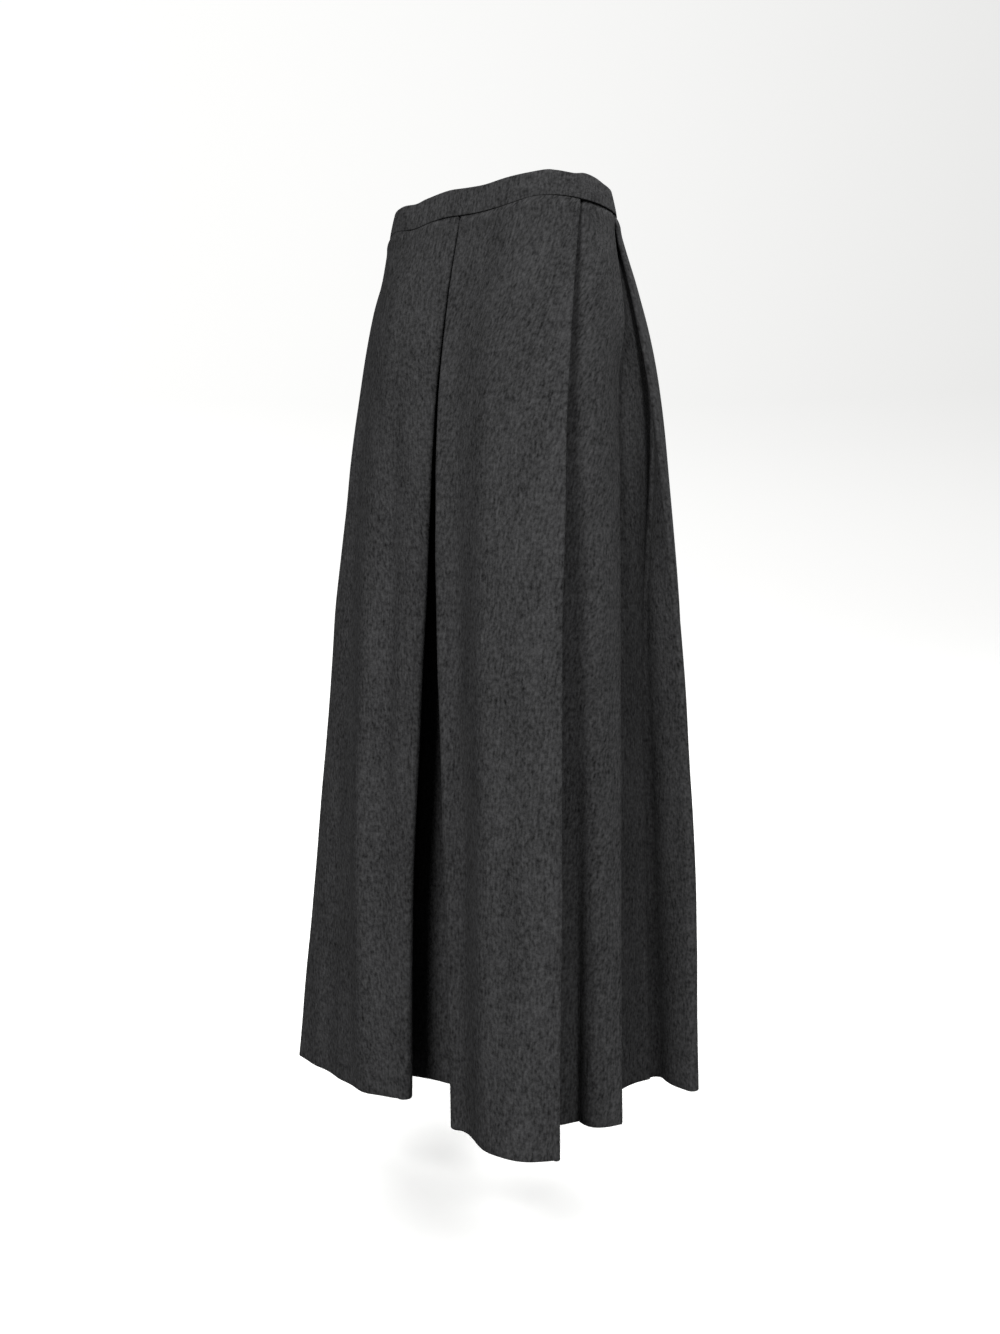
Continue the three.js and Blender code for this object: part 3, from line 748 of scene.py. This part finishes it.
def make_woven(name, dark, light, thread, roughness):
    """Plain-woven cotton or polyester: a small even grid of threads with a dull face."""
    material, tree = new_material(name)
    cloth_map = add_node(tree, "ShaderNodeUVMap", uv_map="cloth").outputs["UV"]
    threads = []
    for direction in ("X", "Y"):
        wave = add_node(tree, "ShaderNodeTexWave",
                        {"Vector": cloth_map, "Scale": WAVES / (thread * MM)},
                        bands_direction=direction)
        threads.append(wave.outputs["Fac"])
    weave = add_node(tree, "ShaderNodeMath", {0: threads[0], 1: threads[1]}, operation="MULTIPLY")
    colour = add_node(tree, "ShaderNodeMix", {0: weave.outputs[0], 6: linear(dark), 7: linear(light)},
                      data_type="RGBA")
    bump = add_node(tree, "ShaderNodeBump",
                    {"Height": weave.outputs[0], "Strength": 0.4, "Distance": 0.2 * MM})
    shader = add_node(tree, "ShaderNodeBsdfPrincipled", {
        "Base Color": colour.outputs[2], "Roughness": roughness, "Normal": bump.outputs["Normal"]})
    add_node(tree, "ShaderNodeOutputMaterial", {"Surface": shader.outputs["BSDF"]})
    return material


def make_backdrop_paper():
    """Seamless white paper: matt and even, kept near white by lamps of its own."""
    material, tree = new_material("matt white paper")
    paper = linear("f4f4f3")
    shader = add_node(tree, "ShaderNodeBsdfPrincipled", {
        "Base Color": paper, "Roughness": 0.9, "Emission Color": paper, "Emission Strength": 0.35})
    add_node(tree, "ShaderNodeOutputMaterial", {"Surface": shader.outputs["BSDF"]})
    return material


# ---- studio -------------------------------------------------------------------------

FLOOR_DROP = 0.12      # the floor lies this far below the hem
ROOM = 4.5             # radius of the round backdrop
ROOM_CURVE = 1.5       # radius between its floor and its wall
ROOM_HEIGHT = 4
ROOM_SIDES, ROOM_CURVE_STEPS = 96, 12


def make_room():
    """A plain pale floor that curves up into a round backdrop."""
    bm = bmesh.new()
    floor = cad_box[0].z - FLOOR_DROP
    profile = [bm.verts.new((0, 0, floor)), bm.verts.new((ROOM - ROOM_CURVE, 0, floor))]
    for k in range(1, ROOM_CURVE_STEPS + 1):
        a = math.pi / 2 * k / ROOM_CURVE_STEPS
        profile.append(bm.verts.new((ROOM - ROOM_CURVE + ROOM_CURVE * math.sin(a), 0,
                                     floor + ROOM_CURVE * (1 - math.cos(a)))))
    profile.append(bm.verts.new((ROOM, 0, floor + ROOM_HEIGHT)))
    edges = [bm.edges.new(pair) for pair in zip(profile, profile[1:])]
    bmesh.ops.spin(bm, geom=profile + edges, cent=(0, 0, 0), axis=(0, 0, 1),
                   angle=2 * math.pi, steps=ROOM_SIDES, use_merge=True)
    bmesh.ops.remove_doubles(bm, verts=bm.verts, dist=1e-5)
    for face in bm.faces:
        face.smooth = True
    mesh = bpy.data.meshes.new("room")
    bm.to_mesh(mesh)
    bm.free()
    room = bpy.data.objects.new("room", mesh)
    bpy.context.scene.collection.objects.link(room)
    mesh.materials.append(make_backdrop_paper())
    # the room is a backdrop alone: it throws no light back at the skirt and no shadow on it
    room.visible_diffuse = False
    room.visible_glossy = False
    room.visible_shadow = False


# Lamps: azimuth 0 stands before the skirt and 90 at the wearer's left, both angles in degrees.
# The key is a round softbox near enough for its light to fall off down the skirt. Its strength is
# the light that reaches the waist.
KEY_AZIMUTH, KEY_ELEVATION, KEY_DISTANCE, KEY_STRENGTH, KEY_ACROSS = 14, 32, 6, 2.75, 2.3
# suns fill the rest: name, azimuth, elevation, strength, how softly their shadows end
SUNS = [("fill", 76, 38, 1.55, 26), ("back", 165, 40, 2.2, 30), ("back left", -140, 35, 1.4, 30)]
ROOM_GLOW = 0.08


def hang_lamp(name, kind, azimuth, elevation, distance=0):
    """A lamp that shines at the waist from a direction."""
    data = bpy.data.lights.new(name, kind)
    lamp = bpy.data.objects.new(name, data)
    bpy.context.scene.collection.objects.link(lamp)
    a, e = math.radians(azimuth), math.radians(elevation)
    towards = Vector((math.sin(a) * math.cos(e), -math.cos(a) * math.cos(e), math.sin(e)))
    lamp.location = towards * distance
    lamp.rotation_euler = towards.to_track_quat("Z", "Y").to_euler()
    return data


def make_light():
    world = bpy.data.worlds.new("soft white room")
    bpy.context.scene.world = world
    world.use_nodes = True
    tree = world.node_tree
    tree.nodes.clear()
    glow = add_node(tree, "ShaderNodeBackground", {"Color": (1, 1, 1, 1), "Strength": ROOM_GLOW})
    add_node(tree, "ShaderNodeOutputWorld", {"Surface": glow.outputs["Background"]})
    key = hang_lamp("key", "AREA", KEY_AZIMUTH, KEY_ELEVATION, KEY_DISTANCE)
    key.shape = "DISK"
    key.size = KEY_ACROSS
    key.energy = KEY_STRENGTH * math.pi * KEY_DISTANCE ** 2
    for name, azimuth, elevation, strength, softness in SUNS:
        sun = hang_lamp(name, "SUN", azimuth, elevation)
        sun.energy = strength
        sun.angle = math.radians(softness)
    bpy.context.scene.view_settings.view_transform = "Standard"


# The camera stands to the wearer's left of the front, level with the knees.
CAMERA_TURN = math.radians(39.66)
CAMERA_DISTANCE = 1.3993
CAMERA_HEIGHT = -0.404
CAMERA_DIP = math.radians(2.95)
CAMERA_LENS = 35.08


def make_camera():
    data = bpy.data.cameras.new("camera")
    data.lens = CAMERA_LENS
    data.sensor_width = 36
    camera = bpy.data.objects.new("camera", data)
    bpy.context.scene.collection.objects.link(camera)
    camera.location = (CAMERA_DISTANCE * math.sin(CAMERA_TURN),
                       -CAMERA_DISTANCE * math.cos(CAMERA_TURN), CAMERA_HEIGHT)
    camera.rotation_euler = (math.pi / 2 - CAMERA_DIP, 0, CAMERA_TURN)
    bpy.context.scene.camera = camera


# ---- everything ---------------------------------------------------------------------

make_camera()
flannel = make_flannel()
make_waistband(flannel)
make_skirt(flannel)
make_pockets(make_woven("plain-woven cotton pocketing", "202020", "2f2f30", 0.5, 0.9))
make_zip(make_woven("woven polyester zip tape", "1c1c1c", "2b2b2c", 0.6, 0.7))
make_room()
make_light()
